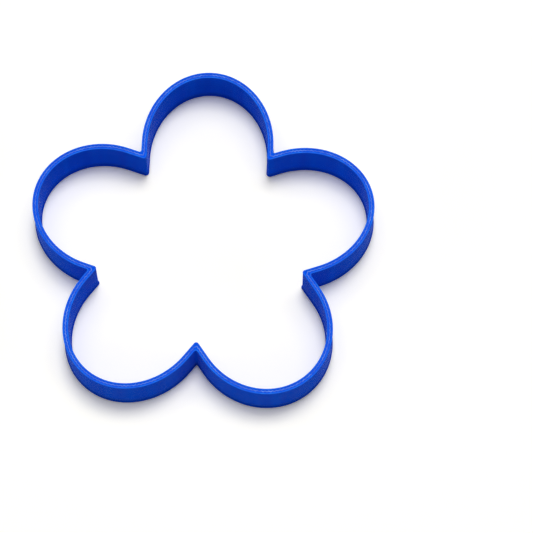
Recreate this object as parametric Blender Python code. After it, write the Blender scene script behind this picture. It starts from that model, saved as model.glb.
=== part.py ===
"""A cookie cutter: one upright plastic wall that follows the outline of a flower with five petals.

Sizes are in metres and +Z is up. The cutter stands on z = 0, the middle of its outline's box is on the
Z axis, and the first petal points along +Y.
"""

import math
from collections import namedtuple

import bmesh
import bpy
from mathutils import Vector

MM = 0.001

# The flower, measured on the outer face of the wall.
PETAL_REACH = 46.0 * MM  # from the flower's centre to a petal's tip
PETAL_HALF_WIDTH = 17.0 * MM  # from a petal's middle line to its straight sides
STRAIGHT_SIDE = 2.8 * MM  # length of the straight sides, from the notch to where the arch starts

# The petals aren't quite alike. Each row holds a petal's bearing in degrees, counter-clockwise from +X,
# then by how many steps it reaches further, and is wider to each side, than the sizes above.
REACH_STEP = 0.5 * MM
WIDTH_STEP = 0.2 * MM
PETAL_ROWS = (
    (90.0, 0, 0),
    (163.0, -1, 1),
    (233.0, 1, 2),
    (306.5, 0, 3),
    (380.0, -1, 0),
)

# The wall.
WALL_HEIGHT = 12.7 * MM
WALL_THICKNESS = 1.4 * MM
NOTCH_FILLET = 0.5 * MM  # radius in the V between two petals, on the outer face
CORNER_ROUND = 0.7 * MM  # radius of the corner that points into the flower, on the inner face

# The rim on top, which stands slightly proud of both faces and has rounded edges.
RIM_PROUD = 0.05 * MM
RIM_DEPTH = 0.6 * MM
RIM_ROUND = 0.25 * MM

# The foot at the bottom, where both faces flare out a little, with a small chamfer under them.
FOOT_PROUD = 0.25 * MM
FOOT_DEPTH = 0.8 * MM
FOOT_CHAMFER = 0.15 * MM

# How finely the round stretches are divided.
ARCH_STEPS = 32
CORNER_STEPS = 6
RIM_ROUND_STEPS = 3

SMOOTH_BELOW = math.radians(35)

Petal = namedtuple("Petal", "bearing along across reach half_width arch_start")


def clear_scene():
    for thing in list(bpy.data.objects):
        bpy.data.objects.remove(thing, do_unlink=True)


def blue_plastic():
    material = bpy.data.materials.new("blue_plastic")
    material.use_nodes = True
    shader = material.node_tree.nodes["Principled BSDF"]
    shader.inputs["Base Color"].default_value = (0.014, 0.078, 0.61, 1.0)
    shader.inputs["Roughness"].default_value = 0.45
    shader.inputs["Metallic"].default_value = 0.0
    return material


def make_petal(bearing, reach_steps, width_steps):
    """One petal's directions along and across it, to the right as seen from above, and its sizes."""
    turn = math.radians(bearing)
    half_width = PETAL_HALF_WIDTH + width_steps * WIDTH_STEP
    return Petal(
        bearing=bearing,
        along=Vector((math.cos(turn), math.sin(turn))),
        across=Vector((math.sin(turn), -math.cos(turn))),
        reach=PETAL_REACH + reach_steps * REACH_STEP,
        half_width=half_width,
        arch_start=half_width / math.tan(math.pi / len(PETAL_ROWS)) + STRAIGHT_SIDE,
    )


def arch_points(petal, inset):
    """The half ellipse round a petal's tip, from its right side to its left, moved inwards by inset."""
    rise = petal.reach - petal.arch_start
    points = []
    for step in range(ARCH_STEPS + 1):
        turn = math.pi * step / ARCH_STEPS
        side = petal.half_width * math.cos(turn)
        out = rise * math.sin(turn)
        normal = Vector((rise * math.cos(turn), petal.half_width * math.sin(turn))).normalized()
        side -= inset * normal.x
        out -= inset * normal.y
        points.append(petal.across * side + petal.along * (petal.arch_start + out))
    return points


def side_crossing(petal, next_petal, inset):
    """Where the left side of one petal meets the right side of the next, both moved inwards by inset."""
    start = -(petal.half_width - inset) * petal.across
    gap = next_petal.half_width - inset - start.dot(next_petal.across)
    return start + petal.along * (gap / petal.along.dot(next_petal.across))


def corner_points(petal, next_petal, inset, radius):
    """The small arc that rounds the corner between two petals."""
    half_angle = math.radians((next_petal.bearing - petal.bearing) % 360.0) / 2
    outwards = (petal.along + next_petal.along).normalized()
    corner = side_crossing(petal, next_petal, inset)
    centre = corner + outwards * (radius / math.sin(half_angle))
    sideways = Vector((-outwards.y, outwards.x))
    sweep = math.pi - 2 * half_angle
    points = []
    for step in range(CORNER_STEPS + 1):
        turn = sweep * (step / CORNER_STEPS - 0.5)
        points.append(centre - radius * (outwards * math.cos(turn) - sideways * math.sin(turn)))
    return points


def flower_outline(inset, corner_radius):
    """The closed outline, counter-clockwise, moved inwards by inset from the wall's outer face."""
    petals = [make_petal(*row) for row in PETAL_ROWS]
    points = []
    for petal, next_petal in zip(petals, petals[1:] + petals[:1]):
        points += arch_points(petal, inset)
        points += corner_points(petal, next_petal, inset, corner_radius)
    return points


def face_profile():
    """Pairs of height and how far the face stands proud there, from the bottom of the wall to its top."""
    profile = [
        (0.0, FOOT_PROUD - FOOT_CHAMFER),
        (FOOT_CHAMFER, FOOT_PROUD),
        (FOOT_DEPTH, 0.0),
        (WALL_HEIGHT - RIM_DEPTH, 0.0),
    ]
    for step in range(RIM_ROUND_STEPS + 1):
        turn = math.pi / 2 * step / RIM_ROUND_STEPS
        height = WALL_HEIGHT - RIM_ROUND * (1 - math.sin(turn))
        proud = RIM_PROUD - RIM_ROUND * (1 - math.cos(turn))
        profile.append((height, proud))
    return profile


def outline_centre():
    """The middle of the box round the outline."""
    points = flower_outline(-FOOT_PROUD, NOTCH_FILLET - FOOT_PROUD)
    across = [point.x for point in points]
    along = [point.y for point in points]
    return Vector((min(across) + max(across), min(along) + max(along))) / 2


def add_ring(mesh, points, centre, height):
    """The corners of one closed ring at one height."""
    return [mesh.verts.new((point.x - centre.x, point.y - centre.y, height)) for point in points]


def skin_between(mesh, ring, next_ring):
    """A band of four-sided faces from one ring to the next."""
    for index in range(len(ring)):
        after = (index + 1) % len(ring)
        mesh.faces.new((ring[index], ring[after], next_ring[after], next_ring[index]))


def make_wall():
    """The rings go up the outer face and down the inner one, so the last band is the bottom of the foot."""
    mesh = bmesh.new()
    centre = outline_centre()
    outer_rings = []
    inner_rings = []
    for height, proud in face_profile():
        outer = flower_outline(-proud, NOTCH_FILLET - proud)
        inner = flower_outline(WALL_THICKNESS + proud, CORNER_ROUND + proud)
        outer_rings.append(add_ring(mesh, outer, centre, height))
        inner_rings.append(add_ring(mesh, inner, centre, height))
    rings = outer_rings + inner_rings[::-1]
    for ring, next_ring in zip(rings, rings[1:] + rings[:1]):
        skin_between(mesh, ring, next_ring)
    bmesh.ops.recalc_face_normals(mesh, faces=mesh.faces)
    return mesh


def add_object(name, mesh, material):
    data = bpy.data.meshes.new(name)
    mesh.to_mesh(data)
    mesh.free()
    data.materials.append(material)
    data.shade_smooth()
    data.set_sharp_from_angle(angle=SMOOTH_BELOW)
    thing = bpy.data.objects.new(name, data)
    bpy.context.scene.collection.objects.link(thing)
    return thing


def main():
    clear_scene()
    cutter = add_object("cutter_wall", make_wall(), blue_plastic())
    size = [round(side / MM, 2) for side in cutter.dimensions]
    print(cutter.name, len(cutter.data.polygons), "faces, size in mm", size)


main()
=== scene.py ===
# %% [markdown]
# # A flower-shaped cookie cutter
#
# The cutter is one upright plastic wall, printed layer on layer. Its CAD solid already has the shape
# and the size, but it is smooth. This notebook dresses it with what a printer leaves behind: the layers
# on the two faces, the beads along the rim's edges, and the zigzag laid down between them. The first
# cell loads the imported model, which never moves, and notes its box. Blender counts in metres, so a size
# in millimetres is written times MM.

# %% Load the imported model
import math

import bmesh
import bpy
from mathutils import Matrix, Vector


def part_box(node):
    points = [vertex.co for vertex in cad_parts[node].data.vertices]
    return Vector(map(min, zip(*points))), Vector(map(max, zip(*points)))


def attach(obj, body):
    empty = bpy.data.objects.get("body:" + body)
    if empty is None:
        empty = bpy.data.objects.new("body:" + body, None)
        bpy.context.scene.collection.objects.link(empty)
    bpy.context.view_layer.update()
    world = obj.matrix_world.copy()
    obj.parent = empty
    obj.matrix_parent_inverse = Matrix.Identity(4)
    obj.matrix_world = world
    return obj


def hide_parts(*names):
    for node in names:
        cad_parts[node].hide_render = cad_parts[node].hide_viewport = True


MM = 0.001

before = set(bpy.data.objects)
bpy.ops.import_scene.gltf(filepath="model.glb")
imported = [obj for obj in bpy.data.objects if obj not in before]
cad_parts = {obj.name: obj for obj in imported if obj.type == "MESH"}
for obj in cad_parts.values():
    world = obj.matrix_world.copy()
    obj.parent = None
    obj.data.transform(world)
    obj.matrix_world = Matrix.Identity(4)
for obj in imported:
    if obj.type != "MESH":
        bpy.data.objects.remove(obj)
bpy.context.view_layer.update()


# %% [markdown]
# ## The flower's sizes
#
# These are the sizes that the solid was made from. The five petals aren't quite alike, so each has its
# own bearing, and its own small difference in reach and in width. Only the height is read from the
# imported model.

# %% The sizes of the flower and its wall
PETAL_REACH = 46.0 * MM
PETAL_HALF_WIDTH = 17.0 * MM
STRAIGHT_SIDE = 2.8 * MM
REACH_STEP = 0.5 * MM
WIDTH_STEP = 0.2 * MM

# Each row holds a petal's bearing in degrees, counter-clockwise from +X, then by how many steps it
# reaches further, and is wider to each side, than the sizes above.
PETAL_ROWS = (
    (90.0, 0, 0),
    (163.0, -1, 1),
    (233.0, 1, 2),
    (306.5, 0, 3),
    (380.0, -1, 0),
)

WALL_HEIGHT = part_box("cutter_wall")[1][2]
WALL_THICKNESS = 1.4 * MM
NOTCH_FILLET = 0.5 * MM
CORNER_ROUND = 0.7 * MM
RIM_PROUD = 0.05 * MM
FOOT_PROUD = 0.25 * MM
FOOT_DEPTH = 0.8 * MM
FOOT_CHAMFER = 0.15 * MM
print("the wall is", round(WALL_HEIGHT / MM, 2), "mm high")

# %% [markdown]
# ## Picking one piece, and parts of it
#
# An operator acts on all that is selected, so each step starts by selecting one piece alone. Inside
# edit mode, corners are then selected by where they are, which stands in for a box select by mouse.


# %% Helpers that select
def pick(*pieces):
    """Selects these pieces alone, and makes the first one active."""
    bpy.ops.object.select_all(action="DESELECT")
    for piece in pieces:
        piece.select_set(True)
    bpy.context.view_layer.objects.active = pieces[0]


def start_editing(piece):
    """Opens one piece in edit mode with all of its corners selected."""
    pick(piece)
    bpy.ops.object.mode_set(mode="EDIT")
    bpy.ops.mesh.select_mode(type="VERT")
    bpy.ops.mesh.select_all(action="SELECT")


def stop_editing():
    """Goes back to object mode."""
    bpy.ops.object.mode_set(mode="OBJECT")


def select_corners(piece, wanted):
    """Selects the corners whose place passes the test, with the edges and faces between them."""
    mesh = bmesh.from_edit_mesh(piece.data)
    for corner in mesh.verts:
        corner.select_set(wanted(corner.co))
    mesh.select_flush(True)
    mesh.select_flush(False)
    bmesh.update_edit_mesh(piece.data)


# %% Helpers that finish and measure
def apply_modifiers(piece):
    """Applies all modifiers of one piece, first to last."""
    pick(piece)
    for modifier in list(piece.modifiers):
        bpy.ops.object.modifier_apply(modifier=modifier.name)


def report(piece):
    """Prints how fine a piece is, and whether it is closed with its faces pointing out."""
    mesh = bmesh.new()
    mesh.from_mesh(piece.data)
    open_edges = sum(not edge.is_manifold for edge in mesh.edges)
    triangles = sum(len(face.verts) - 2 for face in mesh.faces)
    volume = mesh.calc_volume(signed=True) / MM ** 3
    print(piece.name, "has", triangles, "triangles,", open_edges, "open edges,",
          round(volume, 1), "cubic mm")
    mesh.free()


# %% [markdown]
# ## The outline
#
# Seen from above, a petal is half an ellipse standing on two straight sides. It could be drawn point by
# point, but a circle already holds the round part: it is stretched, its lower half is deleted, the rest
# is moved out, and the two ends are pulled towards the flower's centre. Two cuts then trim the sides
# exactly where the next petal's sides arrive, so five such petals, each turned to its own bearing, meet
# at their ends. The V between two petals is rounded with a corner bevel at the end.
#
# The same recipe gives every outline that is needed here, because it can be moved inwards from the
# wall's outer face by any inset, up to the wall's thickness, which leads to the inner face.

# %% How petals meet
EVEN_STEP = 2 * math.pi / len(PETAL_ROWS)


def petal_sizes(index):
    """A petal's bearing in radians, its reach and its half width, on the outer face."""
    bearing, reach_steps, width_steps = PETAL_ROWS[index % len(PETAL_ROWS)]
    reach = PETAL_REACH + reach_steps * REACH_STEP
    return math.radians(bearing), reach, PETAL_HALF_WIDTH + width_steps * WIDTH_STEP


def arch_start(index):
    """How far out along the petal its sides start to curve."""
    return petal_sizes(index)[2] / math.tan(EVEN_STEP / 2) + STRAIGHT_SIDE


def meeting(index, neighbour, inset):
    """The turn between two petals, and how far out along the first one their sides meet."""
    bearing, _, half_width = petal_sizes(index)
    other_bearing, _, other_half_width = petal_sizes(neighbour)
    step = abs(math.remainder(other_bearing - bearing, 2 * math.pi))
    own, other = half_width - inset, other_half_width - inset
    return step, (other + own * math.cos(step)) / math.sin(step)


for petal in range(len(PETAL_ROWS)):
    step, distance = meeting(petal, petal + 1, 0)
    print("petal", petal, "meets the next at", round(math.degrees(step), 1), "degrees,",
          round(distance / MM, 2), "mm out")

# %% One petal
ARCH_STEPS = 44
SAME_PLACE = 0.001 * MM


def petal_outline(index, inset):
    """One petal's outline, moved inwards by inset, turned to its bearing round the flower's centre."""
    bearing, reach, half_width = petal_sizes(index)
    own = half_width - inset
    rise = reach - inset - arch_start(index)
    bpy.ops.object.select_all(action="DESELECT")
    bpy.ops.mesh.primitive_circle_add(vertices=2 * ARCH_STEPS, radius=own)
    petal = bpy.context.object
    start_editing(petal)
    bpy.ops.transform.resize(value=(1, rise / own, 1))
    select_corners(petal, lambda place: place.y < -SAME_PLACE)
    bpy.ops.mesh.delete(type="VERT")
    bpy.ops.mesh.select_all(action="SELECT")
    bpy.ops.transform.translate(value=(0, arch_start(index), 0))
    select_corners(petal, lambda place: place.y < arch_start(index) + SAME_PLACE)
    bpy.ops.mesh.extrude_region_move(TRANSFORM_OT_translate={"value": (0, -arch_start(index), 0)})
    for side, neighbour in ((-1, index + 1), (1, index - 1)):
        step, distance = meeting(index, neighbour, inset)
        bpy.ops.mesh.select_all(action="SELECT")
        bpy.ops.mesh.bisect(plane_co=(side * own, distance, 0), clear_outer=True,
                            plane_no=(side * math.cos(step / 2), -math.sin(step / 2), 0))
    stop_editing()
    petal.rotation_euler.z = bearing - math.pi / 2
    bpy.ops.object.transform_apply(location=False, rotation=True, scale=False)
    return petal


# %% The flower
CORNER_STEPS = 8


def flower_outline(name, inset, corner_radius):
    """The closed outline round the flower's centre, moved inwards by inset."""
    petals = [petal_outline(index, inset) for index in range(len(PETAL_ROWS))]
    pick(*petals)
    bpy.ops.object.join()
    flower = bpy.context.object
    flower.name = name
    nearest_arch = min(math.hypot(petal_sizes(index)[2] - inset, arch_start(index))
                       for index in range(len(PETAL_ROWS)))
    start_editing(flower)
    bpy.ops.mesh.remove_doubles(threshold=SAME_PLACE)
    select_corners(flower, lambda place: place.length < nearest_arch - SAME_PLACE)
    run = corner_radius / math.tan(EVEN_STEP / 2)
    bpy.ops.mesh.bevel(offset=run, offset_type="OFFSET", segments=CORNER_STEPS, affect="VERTICES")
    stop_editing()
    return flower


# %% [markdown]
# ## The layered faces
#
# A printed wall isn't flat: each layer is a flattened bead whose side bulges a little. One could bend
# every row of the tall wall by itself, but all layers are alike, so one is made first, as a ribbon of
# three rows whose middle bulges, and an Array stacks it to the full height. The ribbon starts set back
# into the wall by the depth of the bulge, so that the crests of the layers end on the solid's own face.
# The rows near the bottom are then pushed out, because the first layers are squashed against the bed
# and spread into a small foot.

# %% Rows, layers and the foot
LAYERS = 50
LAYER = WALL_HEIGHT / LAYERS
ROWS_PER_LAYER = 3
ROW = LAYER / ROWS_PER_LAYER
print("a layer is", round(LAYER / MM, 3), "mm high")


def select_row(piece, row):
    """Selects the corners at the lower edge of one row, counted from the bottom of the wall."""
    select_corners(piece, lambda place: abs(place.z - row * ROW) < ROW / 4)


def foot_proud(height):
    """How far the face stands proud at this height: a chamfer first, then a flare that fades out."""
    if height < FOOT_CHAMFER:
        return FOOT_PROUD - (FOOT_CHAMFER - height)
    return FOOT_PROUD * (FOOT_DEPTH - height) / (FOOT_DEPTH - FOOT_CHAMFER)


# %% One face of the wall
LAYER_BULGE = 0.045 * MM
MERGE_WITHIN = 2 * SAME_PLACE


def layered_face(name, inset, corner_radius, inside):
    """An open ribbon up the wall, with its bulging layers; inside is True where it faces the flower."""
    face = flower_outline(name, inset, corner_radius)
    start_editing(face)
    for _ in range(ROWS_PER_LAYER):
        bpy.ops.mesh.extrude_region_move(TRANSFORM_OT_translate={"value": (0, 0, ROW)})
    bpy.ops.mesh.select_all(action="SELECT")
    bpy.ops.mesh.normals_make_consistent(inside=inside)
    select_corners(face, lambda place: ROW / 2 < place.z < LAYER - ROW / 2)
    bpy.ops.transform.shrink_fatten(value=LAYER_BULGE, use_even_offset=True)
    stop_editing()
    stack = face.modifiers.new("stack", "ARRAY")
    stack.count = LAYERS
    stack.use_relative_offset = False
    stack.use_constant_offset = True
    stack.constant_offset_displace = (0, 0, LAYER)
    stack.use_merge_vertices = True
    stack.merge_threshold = MERGE_WITHIN
    apply_modifiers(face)
    start_editing(face)
    for row in range(math.ceil(FOOT_DEPTH / ROW)):
        select_row(face, row)
        bpy.ops.transform.shrink_fatten(value=foot_proud(row * ROW), use_even_offset=True)
        bpy.ops.transform.resize(value=(1, 1, 0), center_override=(0, 0, row * ROW))
    stop_editing()
    return face


outer_face = layered_face("outer_face", LAYER_BULGE, NOTCH_FILLET + LAYER_BULGE, False)
inner_face = layered_face("inner_face", WALL_THICKNESS - LAYER_BULGE, CORNER_ROUND - LAYER_BULGE, True)
print("each side of the wall has", len(outer_face.data.polygons), "small faces, in", LAYERS, "layers")

# %% [markdown]
# ## The wall
#
# The two faces are joined into one mesh, and a flat fill closes it at the bottom and at the top. The
# top rows come off first, so that the beads of the rim can lie on the wall and still end at its full
# height.

# %% Join and close the wall
BEAD_HEIGHT = 0.30 * MM

pick(outer_face, inner_face)
bpy.ops.object.join()
wall = bpy.context.object
wall.name = "printed_wall"
top_row = math.floor((WALL_HEIGHT - BEAD_HEIGHT / 2) / ROW)
start_editing(wall)
select_corners(wall, lambda place: place.z > (top_row + 0.5) * ROW)
bpy.ops.mesh.delete(type="VERT")
for row in (0, top_row):
    select_row(wall, row)
    bpy.ops.mesh.fill(use_beauty=True)
bpy.ops.mesh.select_all(action="SELECT")
bpy.ops.mesh.normals_make_consistent(inside=False)
stop_editing()
report(wall)

# %% [markdown]
# ## The beads along the rim
#
# The last layer shows how the printer drew it: one bead round the outside, one round the inside. Each
# is a tube along an outline, pressed flat by the nozzle. A curve with a bevel makes a round tube in
# one step, so the outline is converted to a curve, thickened, and converted back, and the tube is then
# squashed in edit mode.

# %% The two edge beads
BEAD_WIDTH = 0.44 * MM
BEAD_ROUNDNESS = 4


def edge_bead(name, inset, corner_radius):
    """A flattened tube along an outline, with its crest at the wall's full height."""
    bead = flower_outline(name, inset, corner_radius)
    pick(bead)
    bpy.ops.object.convert(target="CURVE")
    bead.data.bevel_depth = BEAD_WIDTH / 2
    bead.data.bevel_resolution = BEAD_ROUNDNESS
    bpy.ops.object.convert(target="MESH")
    start_editing(bead)
    bpy.ops.transform.resize(value=(1, 1, BEAD_HEIGHT / BEAD_WIDTH), center_override=(0, 0, 0))
    bpy.ops.transform.translate(value=(0, 0, WALL_HEIGHT - BEAD_HEIGHT / 2))
    bpy.ops.mesh.remove_doubles(threshold=SAME_PLACE)
    bpy.ops.mesh.normals_make_consistent(inside=False)
    stop_editing()
    report(bead)
    return bead


bead_inset = BEAD_WIDTH / 2 - RIM_PROUD
outer_bead = edge_bead("rim_outer_bead", bead_inset, NOTCH_FILLET + bead_inset)
inner_bead = edge_bead("rim_inner_bead", WALL_THICKNESS - bead_inset, CORNER_ROUND - bead_inset)

# %% [markdown]
# ## The zigzag between the beads
#
# The narrow space between the edge beads is filled by one thin bead that runs from side to side, as
# flat on top as the nozzle that pressed it. One zig and zag of it is modelled from an eight-sided
# circle, turned until a side lies on top, squashed, and extruded four times. An Array repeats it and a
# Curve modifier lays the row along the middle of the wall. The length of one zigzag is the way round
# divided by a whole number, so that its end meets its start.

# %% The line that the zigzag follows
INFILL_PITCH = 0.95 * MM

middle = flower_outline("middle_line", WALL_THICKNESS / 2, (NOTCH_FILLET + CORNER_ROUND) / 2)
places = [corner.co.copy() for corner in middle.data.vertices]
way_round = sum((places[a] - places[b]).length for a, b in (edge.vertices for edge in middle.data.edges))
zigzags = round(way_round / INFILL_PITCH)
pitch = way_round / zigzags
print("the way round is", round(way_round / MM, 2), "mm, with", zigzags, "zigzags")

# %% One zigzag
INFILL_SIDES = 8
INFILL_RADIUS = 0.19 * MM
INFILL_SQUASH = 0.5
INFILL_SWING = 0.1 * MM

bpy.ops.object.select_all(action="DESELECT")
bpy.ops.mesh.primitive_circle_add(vertices=INFILL_SIDES, radius=INFILL_RADIUS,
                                  rotation=(0, math.pi / 2, 0))
infill = bpy.context.object
infill.name = "rim_infill"
bpy.ops.object.transform_apply(location=False, rotation=True, scale=False)
start_editing(infill)
bpy.ops.transform.rotate(value=math.pi / INFILL_SIDES, orient_axis="X", center_override=(0, 0, 0))
bpy.ops.transform.resize(value=(1, 1, INFILL_SQUASH), center_override=(0, 0, 0))
infill_rise = max(corner.co.z for corner in bmesh.from_edit_mesh(infill.data).verts)
for side in (INFILL_SWING, -INFILL_SWING, -INFILL_SWING, INFILL_SWING):
    bpy.ops.mesh.extrude_region_move(TRANSFORM_OT_translate={"value": (pitch / 4, side, 0)})
stop_editing()
print("one zigzag is", round(pitch / MM, 3), "mm long and", round(2 * infill_rise / MM, 3), "mm high")

# %% A row of zigzags, bent along the wall
INFILL_BELOW_RIM = 0.03 * MM
ENDS_MEET_WITHIN = 10 * SAME_PLACE

repeat = infill.modifiers.new("repeat", "ARRAY")
repeat.count = zigzags
repeat.use_relative_offset = False
repeat.use_constant_offset = True
repeat.constant_offset_displace = (pitch, 0, 0)
repeat.use_merge_vertices = True
repeat.merge_threshold = MERGE_WITHIN
pick(middle)
bpy.ops.object.convert(target="CURVE")
along = infill.modifiers.new("along", "CURVE")
along.object = middle
along.deform_axis = "POS_X"
apply_modifiers(infill)
start_editing(infill)
bpy.ops.transform.translate(value=(0, 0, WALL_HEIGHT - infill_rise - INFILL_BELOW_RIM))
bpy.ops.mesh.remove_doubles(threshold=ENDS_MEET_WITHIN)
bpy.ops.mesh.normals_make_consistent(inside=False)
stop_editing()
bpy.data.objects.remove(middle)
report(infill)

# %% [markdown]
# ## Placing the flower
#
# The pieces were made round the flower's centre, where the petals' bearings are easy to set. The
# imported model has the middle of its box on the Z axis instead, so all pieces move by the same step,
# which is measured from the wall's own box. Applying the place keeps every object at the origin.

# %% Move the pieces into the frame
SMOOTH_BELOW = 40.0

pieces = [wall, outer_bead, inner_bead, infill]
corners = [corner.co for corner in wall.data.vertices]
middle_x = (min(place.x for place in corners) + max(place.x for place in corners)) / 2
middle_y = (min(place.y for place in corners) + max(place.y for place in corners)) / 2
pick(*pieces)
bpy.ops.transform.translate(value=(-middle_x, -middle_y, 0))
bpy.ops.object.transform_apply(location=True, rotation=False, scale=False)
bpy.ops.object.shade_smooth_by_angle(angle=math.radians(SMOOTH_BELOW))
print("moved by", round(-middle_x / MM, 3), round(-middle_y / MM, 3), "mm")

# %% [markdown]
# ## The blue plastic
#
# All pieces are one plastic, but it looks different where it was laid differently. On the faces each
# layer has its own slight tone, and soft upright bands come from small changes of speed. So the wall's
# colour is mixed from two tones: by a random number for each layer, read from the height, and by a
# noise that is stretched upwards. A painted image could do this too, but numbers from the place itself
# need no unwrapping and never blur.
#
# The matt faces look paler where they are seen along their surface. A sheen does that, while gloss
# would pale the faces that look at the camera as well. The colour is also painted darker over the first
# few millimetres towards the foot. That is painted shade where the wall meets the floor.


# %% A material, and noise on it
def new_material(name):
    """A material with a Principled shader, and the names that every recipe below needs."""
    material = bpy.data.materials.new(name)
    material.use_nodes = True
    return material, material.node_tree.nodes, material.node_tree.links


def stretched_place(nodes, links, size):
    """The place on the piece, measured in steps of these sizes along X, Y and Z."""
    place = nodes.new("ShaderNodeTexCoord")
    steps = nodes.new("ShaderNodeMapping")
    steps.inputs["Scale"].default_value = [1 / side for side in size]
    links.new(place.outputs["Object"], steps.inputs["Vector"])
    return steps.outputs["Vector"]


def noise(nodes, links, size, detail=2.0):
    """Soft random values between 0 and 1, with blobs of about this size."""
    texture = nodes.new("ShaderNodeTexNoise")
    texture.inputs["Scale"].default_value = 1.0
    texture.inputs["Detail"].default_value = detail
    links.new(stretched_place(nodes, links, size), texture.inputs["Vector"])
    return texture.outputs["Fac"]


# %% Ranges and ramps
def spread(nodes, links, value, low, high, narrow=0.3):
    """Turns a noise, which stays near its middle, into the full range from low to high."""
    step = nodes.new("ShaderNodeMapRange")
    step.inputs["From Min"].default_value = narrow
    step.inputs["From Max"].default_value = 1 - narrow
    step.inputs["To Min"].default_value = low
    step.inputs["To Max"].default_value = high
    links.new(value, step.inputs["Value"])
    return step.outputs["Result"]


def ramp_up(nodes, links, low, high):
    """Rises from 0 to 1 between two heights."""
    place = nodes.new("ShaderNodeTexCoord")
    axes = nodes.new("ShaderNodeSeparateXYZ")
    links.new(place.outputs["Object"], axes.inputs["Vector"])
    step = nodes.new("ShaderNodeMapRange")
    step.interpolation_type = "SMOOTHSTEP"
    step.inputs["From Min"].default_value = low
    step.inputs["From Max"].default_value = high
    links.new(axes.outputs["Z"], step.inputs["Value"])
    return step.outputs["Result"]


# %% Mixed colours and small bumps
def blend(nodes, links, factor, first, second):
    """A colour between the two, each of which is a colour or a socket."""
    mix = nodes.new("ShaderNodeMix")
    mix.data_type = "RGBA"
    links.new(factor, mix.inputs["Factor"])
    for name, colour in (("A", first), ("B", second)):
        if isinstance(colour, tuple):
            mix.inputs[name].default_value = (*colour, 1)
        else:
            links.new(colour, mix.inputs[name])
    return mix.outputs["Result"]


def roughen(nodes, links, height, depth, strength):
    """Feeds a height into the shader's normal as small bumps of this depth."""
    bump = nodes.new("ShaderNodeBump")
    bump.inputs["Strength"].default_value = strength
    bump.inputs["Distance"].default_value = depth
    links.new(height, bump.inputs["Height"])
    links.new(bump.outputs["Normal"], nodes["Principled BSDF"].inputs["Normal"])


# %% A random number for each layer
def layer_dice(nodes, links):
    """A random number between 0 and 1 for each layer."""
    axes = nodes.new("ShaderNodeSeparateXYZ")
    links.new(stretched_place(nodes, links, (LAYER, LAYER, LAYER)), axes.inputs["Vector"])
    number = nodes.new("ShaderNodeMath")
    number.operation = "FLOOR"
    links.new(axes.outputs["Z"], number.inputs[0])
    dice = nodes.new("ShaderNodeTexWhiteNoise")
    dice.noise_dimensions = "1D"
    links.new(number.outputs["Value"], dice.inputs["W"])
    return dice.outputs["Value"]


# %% The layered wall's material
WALL_DEEP = (0.0, 0.074, 0.79)
WALL_PALE = (0.0, 0.118, 0.92)
WALL_GLOSS = 0.01
WALL_SHEEN = 0.5
WALL_SHEEN_ROUGHNESS = 0.15
WALL_ROUGHNESS = (0.45, 0.6)
BAND = (3.0 * MM, 3.0 * MM, 40.0 * MM)
LAYER_SHARE = 0.35
# Painted shade: over this height the colour darkens towards the foot, down to this share of the deep
# blue.
FOOT_SHADE_HEIGHT = 3.0 * MM
FOOT_SHADE_TONE = 0.75
WALL_GRAIN = (0.5 * MM, 0.5 * MM, 0.1 * MM)
WALL_GRAIN_STRENGTH = 0.15
GRAIN_DEPTH = 0.02 * MM


def layered_blue():
    """Two blues, mixed by layer and by upright band, with painted shade near the foot, under a faint
    sheen.
    """
    material, nodes, links = new_material("layered_blue")
    shader = nodes["Principled BSDF"]
    shader.inputs["Specular IOR Level"].default_value = WALL_GLOSS
    shader.inputs["Sheen Weight"].default_value = WALL_SHEEN
    shader.inputs["Sheen Roughness"].default_value = WALL_SHEEN_ROUGHNESS
    bands = noise(nodes, links, BAND)
    tone = nodes.new("ShaderNodeMath")
    tone.operation = "MULTIPLY_ADD"
    tone.inputs[1].default_value = LAYER_SHARE
    links.new(layer_dice(nodes, links), tone.inputs[0])
    links.new(spread(nodes, links, bands, 0.0, 1 - LAYER_SHARE), tone.inputs[2])
    colour = blend(nodes, links, tone.outputs["Value"], WALL_DEEP, WALL_PALE)
    # Painted shade near the foot, blended in by height.
    rise = ramp_up(nodes, links, 0.0, FOOT_SHADE_HEIGHT)
    foot_shade = tuple(FOOT_SHADE_TONE * value for value in WALL_DEEP)
    links.new(blend(nodes, links, rise, foot_shade, colour), shader.inputs["Base Color"])
    links.new(spread(nodes, links, bands, *WALL_ROUGHNESS), shader.inputs["Roughness"])
    roughen(nodes, links, noise(nodes, links, WALL_GRAIN), GRAIN_DEPTH, WALL_GRAIN_STRENGTH)
    return material


# %% [markdown]
# ## The rim's finish, with a painted highlight and painted shade
#
# The nozzle irons the last layer, so the crests of its beads are a little scuffed. Their colour holds
# painted light: the crests are painted paler as a painted highlight, while the grooves between the beads
# and the beads' sides keep a deeper blue as painted shade. A dirt texture could be painted on, but the
# height already tells crest from groove: a ramp over about the last tenth of a millimetre does it all the
# way round. Blobs of about a millimetre break the pale crests up at random, and patches of a centimetre
# make some stretches paler than others. The zigzag's crests get the palest painted highlight.

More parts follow.
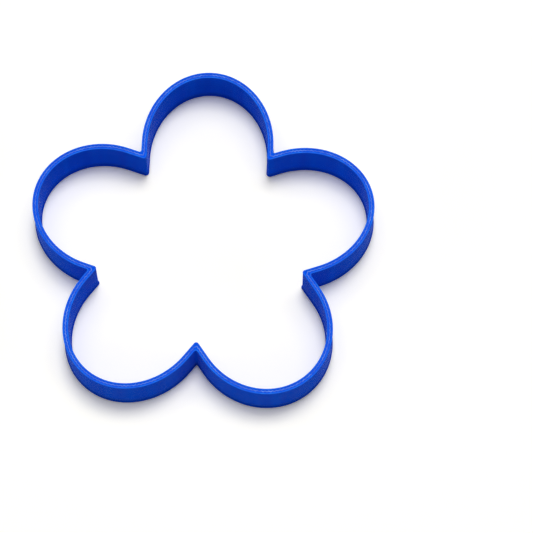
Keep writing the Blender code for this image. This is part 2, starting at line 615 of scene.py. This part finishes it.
# %% The rim's two materials
# Painted light: the deep blues are painted shade in the grooves and down the beads' sides, the pale ones
# a painted highlight on the crests, and the depths say how far down the highlight fades.
BEAD_SHADED = (0.0, 0.085, 0.80)
BEAD_HIGHLIGHT = (0.010, 0.215, 0.97)
BEAD_HIGHLIGHT_DEPTH = 0.08 * MM
BEAD_ROUGHNESS = 0.5
INFILL_SHADED = (0.0, 0.070, 0.70)
INFILL_HIGHLIGHT = (0.200, 0.400, 0.98)
INFILL_HIGHLIGHT_DEPTH = 0.12 * MM
INFILL_ROUGHNESS = 0.55
ROUGHNESS_SWING = 0.06
RIM_GLOSS = 0.12
BLOB = (1.1 * MM, 1.1 * MM, 1.1 * MM)
BLOB_DETAIL = 3.0
BLOB_TONE = (0.2, 1.0)
PATCH = (10.0 * MM, 10.0 * MM, 10.0 * MM)
PATCH_DETAIL = 0.0
PATCH_TONE = (0.6, 1.0)
RIM_GRAIN = (0.25 * MM, 0.25 * MM, 0.25 * MM)
RIM_GRAIN_STRENGTH = 0.2


def multiply(nodes, links, first, second):
    """The product of two values."""
    product = nodes.new("ShaderNodeMath")
    product.operation = "MULTIPLY"
    links.new(first, product.inputs[0])
    links.new(second, product.inputs[1])
    return product.outputs["Value"]


def rim_blue(name, shaded_blue, highlight_blue, highlight_depth, roughness):
    """Painted shade below the crests, and a painted highlight in blobs on the crests, more so in some
    patches.
    """
    material, nodes, links = new_material(name)
    shader = nodes["Principled BSDF"]
    shader.inputs["Specular IOR Level"].default_value = RIM_GLOSS
    blobs = noise(nodes, links, BLOB, BLOB_DETAIL)
    patches = noise(nodes, links, PATCH, PATCH_DETAIL)
    # Painted highlight on the crests, fading by height into painted shade below them.
    crest_highlight = ramp_up(nodes, links, WALL_HEIGHT - highlight_depth, WALL_HEIGHT)
    highlight_blobs = multiply(nodes, links, crest_highlight, spread(nodes, links, blobs, *BLOB_TONE))
    tone = multiply(nodes, links, highlight_blobs, spread(nodes, links, patches, *PATCH_TONE))
    links.new(blend(nodes, links, tone, shaded_blue, highlight_blue), shader.inputs["Base Color"])
    worn = spread(nodes, links, blobs, roughness - ROUGHNESS_SWING, roughness + ROUGHNESS_SWING)
    links.new(worn, shader.inputs["Roughness"])
    roughen(nodes, links, noise(nodes, links, RIM_GRAIN), GRAIN_DEPTH, RIM_GRAIN_STRENGTH)
    return material


# %% Dress the four pieces
bead_blue = rim_blue("bead_blue", BEAD_SHADED, BEAD_HIGHLIGHT, BEAD_HIGHLIGHT_DEPTH, BEAD_ROUGHNESS)
infill_blue = rim_blue("infill_blue", INFILL_SHADED, INFILL_HIGHLIGHT, INFILL_HIGHLIGHT_DEPTH, INFILL_ROUGHNESS)
finishes = {wall: layered_blue(), outer_bead: bead_blue, inner_bead: bead_blue, infill: infill_blue}
for piece, material in finishes.items():
    piece.data.materials.clear()
    piece.data.materials.append(material)
    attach(piece, "root")
    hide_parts("cutter_wall")
    print(piece.name, "is finished in", material.name)

# %% [markdown]
# ## The floor
#
# The cutter stands on plain pale paper. A white as bright as it looks in the picture would throw too
# much light back up onto the walls. So the floor has two whites, and Light Path chooses between them:
# the camera, and what shines or is seen through, meet the brighter one, and the light that bounces
# meets an ordinary pale one. Both are lit in the same way, so the shadow stays on the floor. The
# brighter white is a little warm, which takes back some of the blue that the walls throw onto it. The
# floor lies a hair below the foot, so that the two never share a plane.

# %% Floor
FLOOR_SIZE = 3.0
FLOOR_DROP = 0.02 * MM
FLOOR_WHITE = (0.6, 0.6, 0.6)
FLOOR_SHOWN = (1.17, 1.15, 1.05)

bpy.ops.object.select_all(action="DESELECT")
bpy.ops.mesh.primitive_plane_add(size=FLOOR_SIZE, location=(0, 0, -FLOOR_DROP))
floor = bpy.context.object
floor.name = "floor"
material, nodes, links = new_material("pale_floor")
path = nodes.new("ShaderNodeLightPath")
seen = path.outputs["Is Camera Ray"]
for ray in ("Is Glossy Ray", "Is Transmission Ray"):
    either = nodes.new("ShaderNodeMath")
    either.operation = "MAXIMUM"
    links.new(seen, either.inputs[0])
    links.new(path.outputs[ray], either.inputs[1])
    seen = either.outputs["Value"]
paper = nodes.new("ShaderNodeBsdfDiffuse")
links.new(blend(nodes, links, seen, FLOOR_WHITE, FLOOR_SHOWN), paper.inputs["Color"])
links.new(paper.outputs["BSDF"], nodes["Material Output"].inputs["Surface"])
nodes.remove(nodes["Principled BSDF"])
floor.data.materials.append(material)
print("the floor is", FLOOR_SIZE, "m wide")

# %% [markdown]
# ## The camera
#
# The picture looks down steeply on the cutter from the front, from well away and through a long lens,
# so the wall hardly narrows towards the floor. The focal length is given in pixels of the square
# picture. The camera aims a little to the right of the cutter's middle and in front of it, which moves
# the cutter left and up in the picture without any shift, and the view is turned a little round the
# Z axis.

# %% Camera
PICTURE_WIDTH = 533
FOCAL_PIXELS = 3000.0
SENSOR_WIDTH = 36.0
ELEVATION = 72.0
DISTANCE = 0.779
AIM = (16.5 * MM, -5.9 * MM, 0.0)
YAW = 2.45

camera_data = bpy.data.cameras.new("camera")
camera_data.sensor_width = SENSOR_WIDTH
camera_data.lens = SENSOR_WIDTH * FOCAL_PIXELS / PICTURE_WIDTH
camera = bpy.data.objects.new("camera", camera_data)
bpy.context.scene.collection.objects.link(camera)
turn = Matrix.Rotation(math.radians(YAW), 4, "Z")
tilt = Matrix.Rotation(math.radians(90 - ELEVATION), 4, "X")
camera.matrix_world = turn @ Matrix.Translation(AIM) @ tilt @ Matrix.Translation((0, 0, DISTANCE))
bpy.context.scene.camera = camera
print("the lens is", round(camera_data.lens, 1), "mm long, on a sensor", SENSOR_WIDTH, "mm wide")

# %% [markdown]
# ## The light
#
# The picture has the soft light of a small studio: most of it from above and behind, which puts a soft
# shadow in front of each wall, and a little from low at the sides, which the upright faces catch and
# the floor hardly does. Every lamp is a round softbox, set by where it stands, by how wide it looks
# from the cutter, and by its share of a plain level. The shares and the world's own light add up to
# about 1, at which a colour renders as it is written. The lamps stand far off, so that the floor is
# lit evenly. From there, a lamp straight above reaches the plain level by itself with (pi times its
# distance) squared watts, and one that stands lower needs more, as its light comes in aslant.

# %% The world
WORLD_SHARE = 0.17

scene = bpy.context.scene
scene.view_settings.view_transform = "Standard"
scene.world = bpy.data.worlds.new("world")
scene.world.use_nodes = True
scene.world.node_tree.nodes["Background"].inputs["Color"].default_value = (1, 1, 1, 1)
scene.world.node_tree.nodes["Background"].inputs["Strength"].default_value = WORLD_SHARE
print("the world alone gives", WORLD_SHARE, "of a plain level")

# %% Softboxes
LAMP_DISTANCE = 4.0

# Each row holds a lamp's name, its elevation, its bearing counter-clockwise from +X and half the angle
# that it fills as seen from the cutter, all in degrees, and its share.
LAMP_ROWS = (
    ("top_light", 90, 90, 4, 0.10),
    ("high_back_light", 84, 90, 5, 0.13),
    ("back_light", 76, 80, 8, 0.30),
    ("low_back_light", 62, 90, 10, 0.06),
    ("right_back_light", 62, 45, 10, 0.07),
    ("left_back_light", 62, 135, 10, 0.05),
    ("left_front_light", 76, 205, 8, 0.02),
    ("right_front_light", 76, 325, 8, 0.02),
    ("right_light", 22, 345, 12, 0.03),
    ("left_light", 22, 195, 12, 0.012),
    ("left_front_strip", 9, 220, 8, 0.01),
)


def softbox(name, elevation, bearing, half_angle, share):
    """A round lamp in this direction, with the power that lights the floor by its share."""
    rise, turn = math.radians(elevation), math.radians(bearing)
    data = bpy.data.lights.new(name, "AREA")
    data.shape = "DISK"
    data.size = 2 * LAMP_DISTANCE * math.tan(math.radians(half_angle))
    data.energy = share * (math.pi * LAMP_DISTANCE) ** 2 / math.sin(rise)
    way = Vector((math.cos(rise) * math.cos(turn), math.cos(rise) * math.sin(turn), math.sin(rise)))
    lamp = bpy.data.objects.new(name, data)
    lamp.location = LAMP_DISTANCE * way
    lamp.rotation_euler = way.to_track_quat("Z", "Y").to_euler()
    scene.collection.objects.link(lamp)


for lamp_row in LAMP_ROWS:
    softbox(*lamp_row)
level = WORLD_SHARE + sum(share for *_, share in LAMP_ROWS)
print("the lamps and the world give", round(level, 2), "of a plain level")
